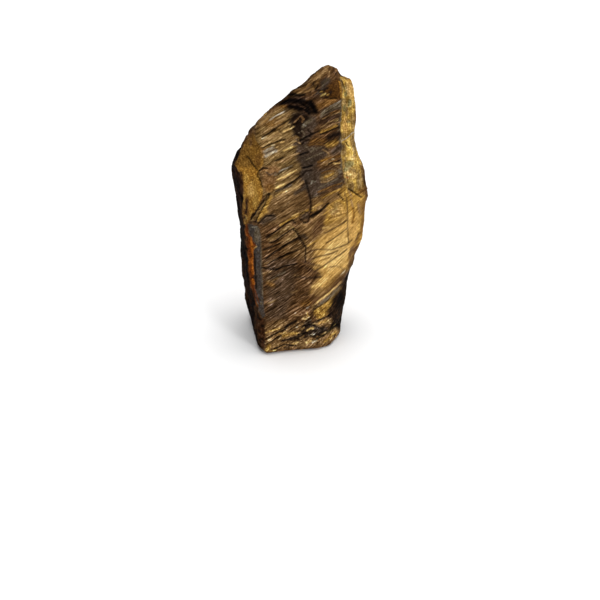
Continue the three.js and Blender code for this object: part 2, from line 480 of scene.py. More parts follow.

# A painted highlight, a bright lip, lies just below each split.
LIP_SHIFT = (0.3, 1.7)
crack = np.zeros(len(skin_mm))
lip_highlight = np.zeros(len(skin_mm))
for width, *line in SPLITS:
    crack = np.maximum(crack, stroke(scarcely_frayed, line, width) * seen)
    lip_highlight = np.maximum(lip_highlight, stroke(scarcely_frayed - LIP_SHIFT, line, width) * seen)
lip_highlight *= 1 - crack

# Small corrections of the outline: a place in the picture, a reach in pixels and a height in millimetres.
NUDGES = [
    ((327, 67), 13, 0.5), ((303, 83), 12, -0.7), ((344, 75), 9, -0.7), ((233, 164), 10, 0.5),
    ((353, 254), 9, -0.5),
]
nudge = np.zeros(len(skin_mm))
for spot, reach, amount in NUDGES:
    nudge += amount * (1 - smooth(np.linalg.norm(place - spot, axis=1), 0.2 * reach, reach))

# The foot stays flat.
height = rough_relief - SPLIT * crack + nudge
height *= smooth(skin_mm[:, 2], 0.05, 2.2)
shaped_mm = skin_mm + outward * height[:, None]
shaped_mm[:, 2] = np.maximum(shaped_mm[:, 2], 0)
skin.data.vertices.foreach_set("co", (shaped_mm * MM).ravel())
skin.data.update()


# Paint: a colour for each point of the skin

PALETTE = {
    "black": "#070403", "soot": "#1c120a", "dark": "#2e2013", "umber": "#453120", "brown": "#5e4326",
    "warm": "#6e4c20", "olive": "#785f36", "tan": "#8f7146", "gold": "#a8823a", "honey": "#c29a52",
    "straw": "#d9b46a", "cream": "#e8d6a6", "pale": "#b3aa92", "grey": "#645842", "smoke": "#403529",
    "heart": "#47392b", "dusk": "#513d28", "sand": "#b3935c", "fawn": "#6d522f", "chestnut": "#5f4329",
    "clay": "#7a5a35", "nut": "#7f6138", "glass": "#452b0d", "slate": "#423c35",
    "ash": "#827c69", "rust": "#643110", "orange": "#b0641c", "red": "#38200f", "yellow": "#b39a58",
    "moss": "#6f6a42", "ochre": "#9c7029", "loam": "#70501f",
}


def colour(name):
    """A colour of the palette as linear red, green and blue."""
    web = PALETTE[name]
    parts = [int(web[i : i + 2], 16) / 255 for i in (1, 3, 5)]
    return np.array([c / 12.92 if c <= 0.04045 else ((c + 0.055) / 1.055) ** 2.4 for c in parts])


def shades(value, *names):
    """Colours that go evenly from the first name at 0 to the last at 1."""
    steps = np.linspace(0, 1, len(names))
    table = np.array([colour(name) for name in names])
    return np.stack([np.interp(value, steps, table[:, k]) for k in range(3)], 1)


def lay(mask, over):
    """Cover the paint where the mask is 1."""
    paint[:] += mask[:, None] * ((colour(over) if isinstance(over, str) else over) - paint)


# How far the marks, the soft spots and the cracks cover what is below them
MARK_COVER = 0.85
BLOTCH_COVER = 0.75
CRACK_COVER = 0.95
MARK_SPREAD = 1.15
DARKEST_MARKS = ("black", "soot")

LIP_HIGHLIGHT = 0.45
GREENER_RIND = 0.08
PAINT_STRENGTH = (0.97, 0.93, 0.97)
CAVITY_SHADE = 0.35
DARKEST = 0.0008
BRIGHTEST = 0.85

# Brighter places are paler and darker ones richer, so blue swings more than red.
CHANNEL_SWING = (0.9, 1.02, 1.25)

broad = 0.5 + 0.5 * fractal(skin_mm / 11, 201, 3)
middle = 0.5 + 0.8 * fractal(skin_mm / 3.2, 211, 4)
fine = 0.5 + 0.8 * fractal(skin_mm / 1.1, 221, 2)
bands = 0.5 + 0.9 * fibre_noise((16.0, 3.2, 7.0), 231, 3)

# The ground for all sides: bands along the fibres, weathered stains on the back, and rind on the sides
paint = shades(0.75 * bands + 0.25 * broad, "soot", "umber", "chestnut", "nut", "gold", "honey")
weathered = smooth(fractal(skin_mm / 12, 251, 4), 0.08, 0.3)
lay(weathered * unseen, shades(middle, "soot", "red", "umber", "loam", "ochre"))
side_shade = 0.3 * broad + 0.4 * middle + 0.3 * fine
lay(side, shades(side_shade, "soot", "red", "umber", "warm", "gold"))
left_rind = shades(0.9 * side_shade, "black", "soot", "red", "umber", "rust")
lay(smooth(-outward[:, 0], 0.25, 0.6), left_rind)

# The yellow rind wraps round the right side, as far back as a frayed line.
rind_end = skin_mm[:, 1] + 7 * fractal(skin_mm / 5, 281, 4)
rind_wrap = smooth(outward[:, 0], 0.3, 0.6) * smooth(skin_mm[:, 2], 22, 34) * (1 - smooth(rind_end, 2, 10))
lay(rind_wrap, shades(side_shade, "umber", "olive", "gold", "honey"))
lay(0.7 * side_cracks, "black")

# The dark corner low on the right goes on round the edge.
CORNER_PLACE = (343, 300)
CORNER_REACH = 6
at_corner = (np.linalg.norm(place - CORNER_PLACE, axis=1) < CORNER_REACH) & (seen > 0.5)
corner = skin_mm[at_corner].mean(0)
near_corner = 1 - smooth(np.linalg.norm(skin_mm - corner, axis=1) + 6 * fractal(skin_mm / 4, 271, 3), 7, 17)
paint *= (1 - 0.92 * near_corner * unseen)[:, None]

# The front's grounds, in the order they are laid: a colour, the softness of the edge, then the outline.
# Below them the whole front is brown.
lay(seen, "brown")
GROUNDS = [
    ("olive", 8, [
        (252, 126), (285, 104), (300, 114), (293, 130), (298, 152), (302, 176), (290, 200), (264, 200),
    ]),
    ("olive", 10, [
        (262, 140), (280, 128), (296, 126), (294, 146), (298, 158), (296, 180), (276, 190), (268, 160),
    ]),
    ("fawn", 8, [(264, 198), (300, 188), (308, 200), (306, 216), (292, 226), (262, 236)]),
    ("brown", 8, [(263, 226), (296, 222), (308, 240), (306, 262), (300, 290), (302, 318), (266, 322)]),
    ("dusk", 8, [(266, 258), (296, 256), (298, 274), (290, 300), (286, 318), (266, 320)]),
    ("fawn", 6, [(276, 234), (300, 226), (312, 240), (308, 258), (284, 258)]),
    ("brown", 6, [(300, 262), (322, 264), (322, 280), (312, 284), (312, 300), (302, 312)]),
    ("nut", 5, [(302, 222), (322, 228), (318, 250), (308, 262), (304, 250)]),
    ("brown", 6, [(316, 100), (342, 96), (342, 166), (318, 168)]),
    ("umber", 5, [(322, 104), (341, 108), (341, 122), (318, 124)]),
    ("heart", 6, HEART),
    ("soot", 5, [(292, 114), (306, 112), (310, 122), (300, 134), (301, 140), (293, 136), (290, 124)]),
    ("smoke", 5, [(302, 152), (314, 158), (312, 178), (306, 184), (300, 170)]),
    ("grey", 3, [(339.5, 98), (343, 98), (343.5, 172), (340, 172)]),
    ("nut", 6, [(312, 200), (326, 194), (346, 188), (348, 214), (334, 220), (322, 232), (312, 222)]),
    ("brown", 5, [(314, 222), (330, 210), (332, 222), (322, 236), (312, 240)]),
    ("nut", 3, [
        (330, 62), (316, 66), (300, 80), (284, 94), (291, 98), (306, 93), (318, 88), (326, 82), (336, 78),
    ]),
    ("brown", 4, [(320, 70), (336, 68), (342, 78), (334, 84), (322, 92), (312, 96), (318, 84)]),
    ("smoke", 4, [(320, 88), (319, 82), (326, 77), (331, 80), (328, 90), (323, 96), (316, 94)]),
    ("gold", 5, [(340, 190), (346, 184), (362, 192), (368, 200), (366, 240), (350, 250), (346, 214)]),
    ("gold", 5, [(328, 206), (338, 199), (346, 200), (348, 214), (338, 220), (326, 226), (324, 218)]),
    ("honey", 10, [
        (319, 238), (328, 228), (340, 220), (352, 212), (358, 214), (358, 236), (352, 246), (352, 266),
        (344, 270), (322, 292), (312, 292), (316, 282), (322, 276), (314, 264), (315, 248),
    ]),
    ("straw", 8, [(326, 246), (346, 232), (348, 246), (346, 262), (330, 270), (322, 264)]),
    ("gold", 3, [(314, 309), (326, 301), (337, 293), (333, 302), (328, 311), (322, 319), (316, 318)]),
    ("fawn", 4, [
        (316, 322), (327, 318), (332, 324), (340, 324), (336, 338), (326, 347), (302, 348), (310, 334),
    ]),
    ("fawn", 4, [(265, 326), (276, 320), (286, 321), (300, 322), (312, 326), (304, 346), (264, 353)]),
    ("dark", 4, [
        (303, 325), (316, 321), (327, 327), (323, 337), (308, 337), (298, 341), (286, 341), (298, 333),
    ]),
    ("clay", 4, [(261, 168), (276, 165), (281, 168), (277, 178), (273, 190), (264, 191), (261, 180)]),
    ("soot", 3, [
        (281, 104), (288, 97), (300, 95), (312, 100), (318, 108), (314, 115), (306, 113), (298, 112),
        (289, 110),
    ]),
]
for name, softness, outline in GROUNDS:
    lay(patch(feathered, outline, softness) * seen, name)

ochre_shade = 0.5 * middle + 0.5 * smooth(place[:, 1], 158, 180)
lay(ochre, shades(ochre_shade, "loam", "loam", "ochre", "gold"))
lay(rust, shades(middle, "red", "rust", "rust", "orange"))
lay(mark("slate lens", 3), "grey")
lay(slate, shades(fine, "smoke", "slate", "slate", "slate", "grey"))
vertical_streaks = 0.5 + 0.9 * fractal(skin_mm * (0.9, 0.5, 0.16), 241, 3)
rind_shade = 0.55 * vertical_streaks + 0.45 * middle
lay(right_rind, shades(rind_shade, "moss", "olive", "tan", "gold", "honey", "straw"))
paint[:, 1] *= 1 + GREENER_RIND * right_rind
lay(red_foot, shades(fine, "black", "soot", "red", "umber"))
lay(glass, "glass")
lay(dark_corner * (1 - 0.3 * smooth(streaks, 0.16, 0.3)), shades(middle, "black", "black", "soot", "dark"))
rusty = smooth(fractal(skin_mm / (3.0, 3.0, 4.5), 291, 5, 0.8), -0.02, 0.16)
# Painted shade: the left side is darkened to a tenth of its rind colour, less where the rind is rusty.
lay(shaded_left_side, (0.1 + 0.5 * rusty)[:, None] * left_rind)

# Soft spots: a colour, a place, then the spot's reach along the picture's two ways.
BLOTCHES = [
    ("moss", 346, 94, 2, 3), ("moss", 350, 103, 2.5, 5), ("moss", 346, 88, 2, 3),
    ("olive", 347, 121, 5, 2.5), ("moss", 345, 108, 2, 4), ("straw", 352, 90, 2.5, 8),
    ("honey", 346, 128, 4, 6), ("olive", 344, 150, 2, 8), ("moss", 350, 164, 6, 4), ("moss", 346, 169, 3, 3),
    ("olive", 352, 186, 4, 3), ("straw", 352, 158, 5, 2.5), ("straw", 353, 176, 4, 4),
    # Painted shade: the brown and dark spots at 365, 180 darken the rind's right edge.
    ("straw", 349, 173, 4, 3), ("warm", 356, 120, 2, 14), ("brown", 365, 180, 3, 16),
    ("dark", 365, 180, 1.8, 6), ("warm", 361, 192, 3, 3), ("loam", 247, 150, 4, 10),
    ("warm", 258, 160, 4, 8), ("honey", 251, 190, 4, 9), ("gold", 256, 202, 4, 8), ("gold", 246, 178, 3, 6),
    ("brown", 251, 143, 2, 5), ("warm", 262, 150, 3, 6), ("olive", 338, 206, 6, 5), ("gold", 334, 214, 5, 3),
    ("smoke", 305, 217, 5, 4), ("warm", 270, 188, 6, 5), ("warm", 273, 123, 13, 6),
    ("grey", 257, 235, 3.5, 10), ("dark", 302, 136, 6, 5), ("tan", 335, 212, 7, 5), ("warm", 360, 208, 4, 9),
    # Painted shade: the brown spot at 367, 202 darkens the gold's right edge.
    ("brown", 367, 202, 3, 12), ("nut", 319, 291, 8, 5), ("tan", 329, 163, 9, 3),
    ("honey", 341, 208, 4, 4), ("straw", 338, 215, 5, 2.5), ("black", 341, 300, 4, 12),
    ("warm", 246, 210, 4, 13), ("rust", 245.5, 208, 2.5, 8), ("sand", 350, 88, 5, 9),
    ("dark", 288, 111, 5, 4), ("umber", 316, 97, 5, 3),
]
for name, x, y, reach_x, reach_y in BLOTCHES:
    away = np.hypot((frayed[:, 0] - x) / reach_x, (frayed[:, 1] - y) / reach_y)
    lay(BLOTCH_COVER * (1 - smooth(away, 0.5, 1.15)) * seen, name)

# Blocks and streaks differ in brightness, by the same noise that shapes them. There are more hairlines than
# blocks low on the left and on the back.
hairy = np.clip(patch(frayed, LOW_LEFT, 14) * seen + unseen, 0, 1)
plates = 0.2 * block + 0.06 * small_block - 0.15 * (1 - smooth(block_edge, 0, 0.07))
grained = plates * (1 - 0.5 * hairy) + 0.3 * streaks + (0.1 + 0.35 * hairy) * threads
contrast = fibrous * (1 - 0.6 * gold) * grained
contrast += 0.45 * heart * swirls + 0.9 * crumbly * crumbs
contrast += 0.5 * rind * (middle - 0.5) + 0.8 * right_rind * (fine - 0.5)
paint *= np.exp(contrast[:, None] * CHANNEL_SWING)

# Marks of the front, in the order they are laid: a colour, a width in pixels, then the points of the line.
MARKS = [
    # the peak
    # Painted shade: a dark line along the rim down from the apex.
    ("dark", 2, (326, 66), (316, 72), (304, 83), (292, 92)),
    ("nut", 3.5, (326, 71), (320, 77), (314, 84), (306, 89)),
    ("tan", 1.8, (326, 70), (321, 75), (317, 80)),
    ("nut", 2, (314, 77), (306, 84), (296, 91)),
    ("warm", 1.2, (311, 84), (302, 90), (296, 93)),
    ("umber", 1.3, (318, 79), (310, 86), (303, 91)),
    ("grey", 1.2, (329, 78), (325, 82), (322, 86)),
    ("soot", 2, (318, 86), (315, 90), (322, 91), (328, 88)),
    ("tan", 1.2, (326, 72), (329, 72), (329, 76)),
    ("umber", 1.5, (334, 72), (337, 76)),
    ("olive", 1.1, (340, 82), (341.5, 90), (341.5, 97)),
    ("soot", 3, (322, 92), (327, 96), (331, 92)),
    ("gold", 1.3, (321, 92), (322, 92)),
    ("yellow", 1.5, (321, 96), (323, 94.5), (325, 94)),
    ("gold", 1.2, (327, 95), (328.5, 95)),
    ("dark", 1.4, (342, 80), (343, 84), (344, 88)),
    # Painted shade: dark lines along the upper-left rim.
    ("dark", 2, (291, 93), (283, 99), (275, 105)),
    ("umber", 2, (266, 113), (256, 121), (250, 130), (245, 141)),
    ("straw", 1.2, (263, 115), (266, 113.5)),
    # the black arcs
    ("black", 3, (289, 95), (293, 94), (298, 95.5), (305, 95)),
    ("umber", 1.4, (291, 98), (298, 98), (306, 98), (312, 97)),
    ("black", 4.5, (281, 104), (286, 101), (293, 100), (300, 101.5), (306, 104.5), (312, 108)),
    ("black", 4, (289, 107), (296, 107), (303, 109), (309, 113)),
    ("umber", 1.1, (286, 105), (292, 104), (299, 105), (305, 108)),
    ("umber", 1.2, (303, 111), (309, 116)),
    ("black", 5, (311, 103), (314, 107), (316, 112)),
    ("dark", 1.2, (303, 103), (308, 105.5), (312, 110)),
    ("warm", 2.5, (281, 107), (286, 107)),
    # right of the seam, above the middle
    ("warm", 6, (320, 106), (327, 103), (333, 101)),
    # Painted highlight: the ash line along the top of the slate lens.
    ("ash", 1.3, (330, 106), (336, 103), (341, 101)),
    ("grey", 2.5, (322, 114), (328, 110), (336, 107)),
    ("dark", 1.2, (325, 113), (333, 110), (340, 107.5)),
    ("warm", 2, (331, 113), (336, 111.5), (340, 111)),
    ("tan", 1, (322, 119), (331, 115), (340, 112)),
    ("umber", 2, (318, 123), (328, 118), (338, 115)),
    ("tan", 1.3, (320, 128), (330, 122), (338, 118)),
    ("yellow", 1.2, (335, 121), (338, 120)),
    ("gold", 3, (321, 132), (328, 130), (336, 126)),
    ("tan", 1, (326, 128), (333, 124), (340, 122)),
    ("soot", 5, (329, 138), (334, 135), (339, 134)),
    ("warm", 4, (312, 142), (318, 140), (324, 141)),
    ("warm", 1.2, (309, 145), (317, 144.5), (324, 145)),
    ("gold", 4.5, (328, 145), (333, 144), (336, 142)),
    ("dark", 1.2, (324, 144), (329, 141), (334, 139)),
    ("smoke", 6, (333, 152), (338, 149), (341, 146)),
    ("grey", 1.5, (311, 152), (316, 149), (321, 147.5)),
    ("grey", 1.2, (306, 160), (314, 156), (322, 153)),
    ("tan", 1.3, (323, 150), (327, 152), (329, 155), (325, 158)),
    ("warm", 2, (318, 162), (327, 158.5), (340, 156)),
    ("ochre", 1, (321, 161), (327, 159)),
    ("warm", 1.5, (321, 166), (328, 162.5), (336, 160)),
    ("tan", 0.9, (323, 165), (330, 162)),
    ("cream", 1.2, (332, 159), (333, 159)),
    ("straw", 1.1, (334, 163.5), (340, 163)),
    ("soot", 1.2, (328, 164), (334, 162), (340, 160)),
    ("tan", 1.1, (335, 166), (338, 167), (341, 169)),
    ("olive", 7, (324, 178), (329, 175), (334, 173)),
    ("gold", 1.8, (325, 177), (330, 175), (333, 173.5)),
    ("warm", 1.5, (322, 173), (328, 171), (334, 171)),
    ("tan", 1.3, (321, 182), (327, 181.5), (332, 179), (336, 177)),
    ("dark", 1.8, (314, 174), (315, 178), (314, 181)),
    ("ash", 1.2, (311, 184), (312, 181), (315, 182)),
    ("grey", 0.9, (338, 184), (342, 181), (345, 179)),
    ("grey", 1.2, (318, 188), (328, 183), (338, 179)),
    ("warm", 1.5, (318, 192), (330, 187), (342, 183)),
    ("dark", 1.2, (311, 199), (318, 195), (328, 191)),
    ("grey", 1, (313, 197), (318, 196)),
    ("gold", 1.5, (322, 198), (330, 194), (340, 189)),
    # left of the seam, above the middle
    ("pale", 1.2, (270, 120), (277, 115.5), (284, 112)),
    ("tan", 1.6, (256, 128), (263, 124), (270, 120.5)),
    ("tan", 3, (276, 122), (284, 118), (290, 113)),
    ("tan", 2.5, (263, 133), (272, 128), (282, 124)),
    ("sand", 1.3, (265, 138), (275, 133), (290, 124.5)),
    ("sand", 2, (281, 133.5), (288, 130), (293, 127)),
    ("straw", 1, (283, 132), (291, 127.5)),
    ("tan", 2, (262, 142), (269, 138.5), (278, 134)),
    ("cream", 0.9, (262, 139), (267, 137)),
    ("sand", 1.6, (263, 146), (272, 142), (281, 137)),
    ("tan", 2.5, (280, 144), (288, 140), (296, 137)),
    ("straw", 1, (281, 143), (284, 141.5)),
    ("straw", 1.7, (284, 151), (288, 149), (293, 147)),
    ("sand", 1.2, (276, 147), (284, 145), (296, 141)),
    # Painted reflection: the pale and cream lines here, with the slate line between them, are a glint off
    # the fibres.
    ("pale", 1.9, (263.5, 152.5), (268, 149.5), (273, 147.5)),
    ("cream", 0.9, (272, 145.5), (274, 145)),
    ("slate", 1.4, (265, 154.2), (270, 151.2), (275, 149)),
    ("pale", 2, (265.5, 156.5), (270, 153.8), (276, 151)),
    ("cream", 1, (268, 155), (274, 152)),
    ("tan", 1.3, (262, 151), (264, 155), (263, 158)),
    ("sand", 1.8, (269, 159), (275, 156), (280, 154)),
    ("tan", 1.5, (282, 162), (290, 157), (299, 153)),
    ("tan", 2.5, (272, 164), (282, 161), (292, 158)),
    ("grey", 2, (275, 175), (283, 170.5), (292, 166)),
    ("pale", 0.9, (280, 171), (288, 167.5)),
    ("tan", 3, (279, 181), (287, 177), (297, 172)),
    ("straw", 1.7, (277.5, 180), (281, 178), (285, 176.5)),
    ("straw", 1.4, (285, 176), (291, 173), (296, 170.5)),
    ("straw", 1.6, (276, 188.2), (280, 186), (285, 184)),
    ("tan", 1.3, (285, 184), (291, 181), (297, 177)),
    ("dark", 1.5, (286, 186.5), (294, 182), (304, 174)),
    ("smoke", 2.5, (276, 191), (284, 188), (291, 185)),
    ("sand", 3, (292.5, 189), (295, 188), (299, 185)),
    ("tan", 2, (299, 185), (303, 182)),
    ("tan", 4, (278, 197), (284, 194.5), (290, 192)),
    ("straw", 0.9, (276, 196), (280, 193), (287, 190.5)),
    ("tan", 1, (278, 200), (284, 197.5), (290, 195)),
    ("smoke", 4, (295, 193), (302, 189), (307, 186)),
    ("smoke", 1.5, (266, 172), (270, 175), (276, 172)),
    ("tan", 1, (260, 176), (264, 172), (268, 170)),
    # the dark heart
    ("soot", 2, (289, 123), (295, 118), (299, 114)),
    ("clay", 1.3, (294, 123), (298, 119), (301, 116), (304, 119), (302, 122)),
    ("grey", 1.2, (298, 134), (302, 131), (305, 135), (302, 139)),
    ("grey", 1.1, (305, 146), (309, 149), (314, 148)),
    ("grey", 3, (303, 127), (306, 123), (311, 120)),
    ("ash", 1, (303, 125), (306, 126)),
    ("soot", 1.8, (293, 129), (296, 132), (299, 136)),
    ("soot", 1.6, (296, 128), (300, 131), (301, 136)),
    ("olive", 1, (296, 136), (299, 138), (299, 141)),
    ("tan", 1.1, (298, 142), (301, 144)),
    ("soot", 1.6, (308, 130), (311, 133), (310, 136)),
    ("soot", 2, (302, 144), (305, 141), (309, 140)),
    ("soot", 2, (302, 175), (306, 171), (311, 170)),
    ("dark", 2, (301, 186), (305, 184), (309, 183)),
    # across the middle
    ("olive", 2.5, (252, 220), (258, 212), (264, 204), (269, 194)),
    ("gold", 4, (258, 219), (262, 214), (266, 211)),
    ("gold", 3, (262, 212), (267, 205), (271, 197)),
    ("smoke", 6, (263, 222), (268, 219), (273, 217)),
    ("tan", 1.2, (271, 204), (276, 201.5)),
    ("tan", 1.1, (275, 210), (284, 206), (290, 202)),
    ("gold", 2, (281, 225), (290, 219.5), (300, 214), (308, 210)),
    ("straw", 0.9, (292, 216), (298, 213)),
    ("tan", 1.5, (276, 221), (280, 219)),
    ("honey", 2.2, (313, 208), (317, 205.5), (322, 203)),
    ("gold", 1.6, (312, 211), (316, 210)),
    ("dark", 2, (313, 217), (318, 213), (326, 206)),
    ("honey", 3, (332, 219), (338, 215), (345, 211)),
    ("yellow", 1.2, (331, 213), (337, 208)),
    ("straw", 1.3, (323, 228), (327, 227), (329, 228)),
    ("olive", 3.5, (270, 240), (280, 233), (290, 226)),
    ("tan", 1.6, (270, 240.5), (273, 239)),
    ("yellow", 1, (292, 226.5), (296, 230)),
    ("olive", 3.5, (288, 239), (293, 236), (297, 233)),
    ("tan", 1.2, (295, 239), (298, 235)),
    ("tan", 1, (298, 226), (304, 224)),
    ("gold", 1.3, (308, 246), (314, 242), (318, 240)),
    ("smoke", 4, (303, 236), (306, 238)),
    # the gold
    ("umber", 1.6, (325, 233), (331, 230), (338, 226), (346, 220.5)),
    ("umber", 1.3, (326, 243), (334, 238), (341, 233), (347, 228)),
    ("warm", 1.2, (329, 218), (338, 216), (346, 213)),
    ("umber", 1.4, (310, 251), (320, 249), (332, 250), (340, 247), (347, 244), (352, 240)),
    ("umber", 1.6, (309, 260), (320, 256), (330, 254), (338, 251)),
    ("umber", 1.4, (316, 271), (325, 265), (332, 260), (340, 255), (347, 249)),
    ("warm", 1.2, (312, 264), (322, 260), (330, 257)),
    ("umber", 1.2, (345, 193), (347.5, 202), (347.5, 222), (348.5, 242)),
    ("umber", 1.3, (330, 267), (337, 266), (344, 269)),
    ("ochre", 3, (352, 206), (354, 214), (353, 222)),
    ("warm", 1.2, (353.5, 208), (354, 216), (352.5, 223)),
    ("tan", 2, (351, 200), (353, 206)),
    ("tan", 2, (358, 204), (360, 214)),
    # Painted shade: the warm stroke darkens the gold's right edge.
    ("warm", 2.5, (364, 200), (363, 216), (361, 232), (354, 246)),
    ("umber", 1, (356, 239), (359, 232)),
    ("brown", 3, (353, 248), (351, 258), (349, 266)),
    ("umber", 2, (303, 262), (311, 264), (320, 266)),
    ("dark", 2.2, (298, 277), (310, 277.5), (321, 277)),
    ("umber", 1.6, (305, 268), (314, 271), (320, 274)),
    ("straw", 3, (313, 287), (320, 284), (328, 278)),
    ("warm", 1.3, (324, 290), (332, 283), (338, 276), (344, 270)),
    ("brown", 4, (337, 282), (341, 277), (345, 273)),
    ("cream", 1.3, (342, 273), (345, 270.5)),
    # Painted highlight: the sand and straw lines where the diagonal ridge catches the light.
    ("sand", 1.5, (312, 306), (320, 300), (328, 294), (337, 286), (341, 282)),
    ("straw", 1, (316, 303), (325, 296), (331, 291), (337, 286)),
    ("olive", 3.2, (313, 309), (322, 303), (331, 296.5), (340, 288)),
    ("grey", 2.6, (320, 303.5), (326, 299), (333, 293.5), (339, 288)),
    ("ash", 0.9, (321, 303.5), (327, 299)),
    ("dark", 1.2, (314, 309), (322, 304.5), (331, 298)),
    ("grey", 1, (316, 306.5), (326, 299), (334, 293)),
    # low on the left
    ("tan", 1, (264, 264), (270, 261), (278, 259)),
    ("tan", 1.2, (263, 273.5), (271, 271)),
    ("grey", 1.2, (273, 278), (279, 275), (285, 272)),
    ("warm", 4, (268, 283), (273, 285)),
    ("tan", 1.2, (266, 281), (271, 281), (278, 278)),
    ("tan", 1.2, (294, 275), (295, 275.5)),
    ("tan", 1.2, (297.5, 276), (298.5, 276)),
    ("tan", 1.2, (307.5, 282), (309, 282.5)),
    ("tan", 1, (291, 293), (297, 291)),
    ("olive", 1.2, (268, 303), (276, 300)),
    ("warm", 5, (303, 304), (309, 302)),
    ("pale", 1.2, (307, 308), (309, 307)),
    ("tan", 1.1, (294, 316), (298, 315)),
    ("sand", 3, (304, 318), (309, 317)),
    ("straw", 1.2, (304, 319), (307, 319)),
    ("honey", 1.2, (307, 313), (308, 316)),
    # the foot
    ("tan", 5, (277, 326), (281, 323)),
    ("soot", 2.4, (285, 327), (290, 324), (296, 321)),
    ("honey", 1.4, (266, 333), (273, 330), (280, 328)),
    ("tan", 1.5, (266, 343), (275, 337), (285, 331.5), (295, 327.5), (307, 322)),
    ("tan", 5, (280, 337), (290, 335), (299, 334)),
    ("gold", 2.5, (283, 336), (290, 334), (297, 333.5)),
    ("nut", 5, (268, 348), (280, 345), (290, 344)),
    ("tan", 5, (299, 344), (309, 340)),
    ("soot", 2, (282, 341), (292, 338), (300, 336), (306, 337)),
    ("smoke", 5, (308, 324), (318, 329), (326, 330)),
    ("soot", 2, (313, 330), (319, 333), (326, 331)),
    ("straw", 1.4, (307, 331), (309, 329.5), (313, 328)),
    ("tan", 5, (318, 324), (323, 322), (329, 321)),
    ("honey", 2, (319, 323), (327, 321)),
    ("cream", 0.9, (309, 335), (314, 334)),
    ("yellow", 1.3, (319, 338), (327, 333), (331, 330), (335, 325)),
    ("tan", 5, (322, 344), (330, 338), (336, 331)),
    ("gold", 2.5, (325, 342), (331, 337), (336, 332)),
    ("straw", 1.6, (307, 343), (311, 341)),
    ("cream", 1.3, (312, 342), (317, 340.5)),
    ("straw", 1.3, (293, 344), (298, 342)),
    ("sand", 1.2, (301, 330), (304, 328)),
    ("sand", 1.2, (311, 325), (315, 324)),
    ("tan", 1.3, (300, 338), (304, 336)),
    ("sand", 1.1, (322, 334), (326, 332)),
    ("grey", 1.2, (304, 323), (311, 320)),
    ("grey", 1.1, (312, 333), (318, 332)),
    ("honey", 1.3, (279, 334), (286, 332)),
    ("sand", 1.1, (270, 347), (276, 344)),
    ("tan", 3, (273, 346), (278, 344)),
    ("dark", 1.4, (284, 348), (292, 346)),
    ("gold", 3, (267, 350), (269, 346)),
    ("honey", 1.1, (268, 351), (276, 350)),
    # the left rim
    ("orange", 2, (251, 238), (252, 250), (252.5, 262), (253, 274)),
    ("orange", 2.2, (252.5, 280), (254, 284)),
    ("honey", 1, (254, 248), (256, 246.5)),
    ("rust", 1, (255, 289), (257, 296), (259, 303)),
    # Painted highlight: the grey and ash lines on the slate slab's right and top edges.
    ("grey", 1, (261.3, 236), (261.5, 256), (262.3, 276), (263, 296)),
    ("ash", 1.4, (252, 227), (256, 227.5)),
    ("soot", 1.6, (254.5, 254), (255.5, 272), (256.5, 288)),
    ("red", 3, (241, 176), (242.5, 184), (242.5, 193)),
    ("red", 2, (241, 172), (242, 175)),
    ("warm", 5, (247, 199), (246, 210), (246, 221)),
    ("red", 2.6, (247, 200), (246, 210), (245, 218)),
    ("black", 1.1, (246.5, 202), (247, 204)),
    ("black", 1.1, (247, 207), (246.5, 209)),
    ("black", 1.1, (245, 211), (246, 212.5)),
    ("gold", 1.1, (245, 215), (247, 216.5)),
    ("yellow", 1.1, (245, 219), (247, 218)),
    ("gold", 1.1, (244.5, 205), (244.5, 208)),
    ("red", 1.3, (252, 180), (253, 180)),
    ("gold", 3.5, (254, 185), (256, 195), (254, 204)),
    ("warm", 1.3, (253, 139), (254, 143)),
    # the right rim
    ("pale", 0.8, (341.5, 141), (347, 137.5), (354, 132)),
    ("moss", 1.2, (347, 91), (346.5, 95)),
    ("moss", 1.1, (351, 98), (350, 103)),
    ("moss", 1.2, (349, 104), (348.5, 107)),
    ("moss", 1, (344, 122), (350, 122)),
    ("honey", 3, (349, 80), (351, 90), (352, 98)),
    ("honey", 3, (345, 118), (345, 128)),
    ("orange", 1.2, (347, 177), (348, 178)),
    # Painted shade: the brown and dark strokes darken the rind's right edge.
    ("brown", 2.5, (361, 166), (364, 174), (366, 183), (366, 194)),
    ("dark", 2, (363, 176), (365, 184)),
    ("warm", 2.5, (360, 190), (364, 190)),
    ("ochre", 1.6, (339, 82), (341, 90), (341, 97)),
    ("tan", 2, (349, 190), (351, 196)),
]
for name, width, *line in MARKS:
    cover = 1.0 if name in DARKEST_MARKS else MARK_COVER
    lay(cover * stroke(scarcely_frayed, line, MARK_SPREAD * width) * seen, name)
lay(CRACK_COVER * crack, "black")
# Painted highlight on the lips below the splits.
paint *= (1 + LIP_HIGHLIGHT * lip_highlight)[:, None]

# Painted shade: hollows are darker.
cavity = smooth(-rough_relief, 0.02, 0.42)
paint *= (1 - CAVITY_SHADE * cavity)[:, None] * PAINT_STRENGTH


# What the material reads at each point of the skin

def attach(name, values):
    """Keep a number or a vector at each point."""
    kind, field = ("FLOAT", "value") if values.ndim == 1 else ("FLOAT_VECTOR", "vector")
    attribute = skin.data.attributes.new(name, kind, "POINT")
    attribute.data.foreach_set(field, np.ascontiguousarray(values, dtype=np.float32).ravel())


attach("paint", np.clip(paint, DARKEST, BRIGHTEST))

# On the right rind the streaks stand upright.
upright = np.stack((skin_mm[:, 2], skin_mm[:, 0] + 0.5 * skin_mm[:, 1], skin_mm[:, 1]), 1)
attach("fibre", fibre + right_rind[:, None] * (upright - fibre))
attach("fibrous", fibrous * (1 - 0.35 * gold) * (0.65 + 0.35 * hairy) + 0.28 * right_rind)
attach("grainy", 1 - 0.65 * fibrous - 0.2 * slate - 0.2 * right_rind + 0.8 * crumbly)
attach("glossy", np.clip(fibrous + glass + 0.3 * ochre, 0, 1))
for polygon in skin.data.polygons:
    polygon.use_smooth = True


# Materials

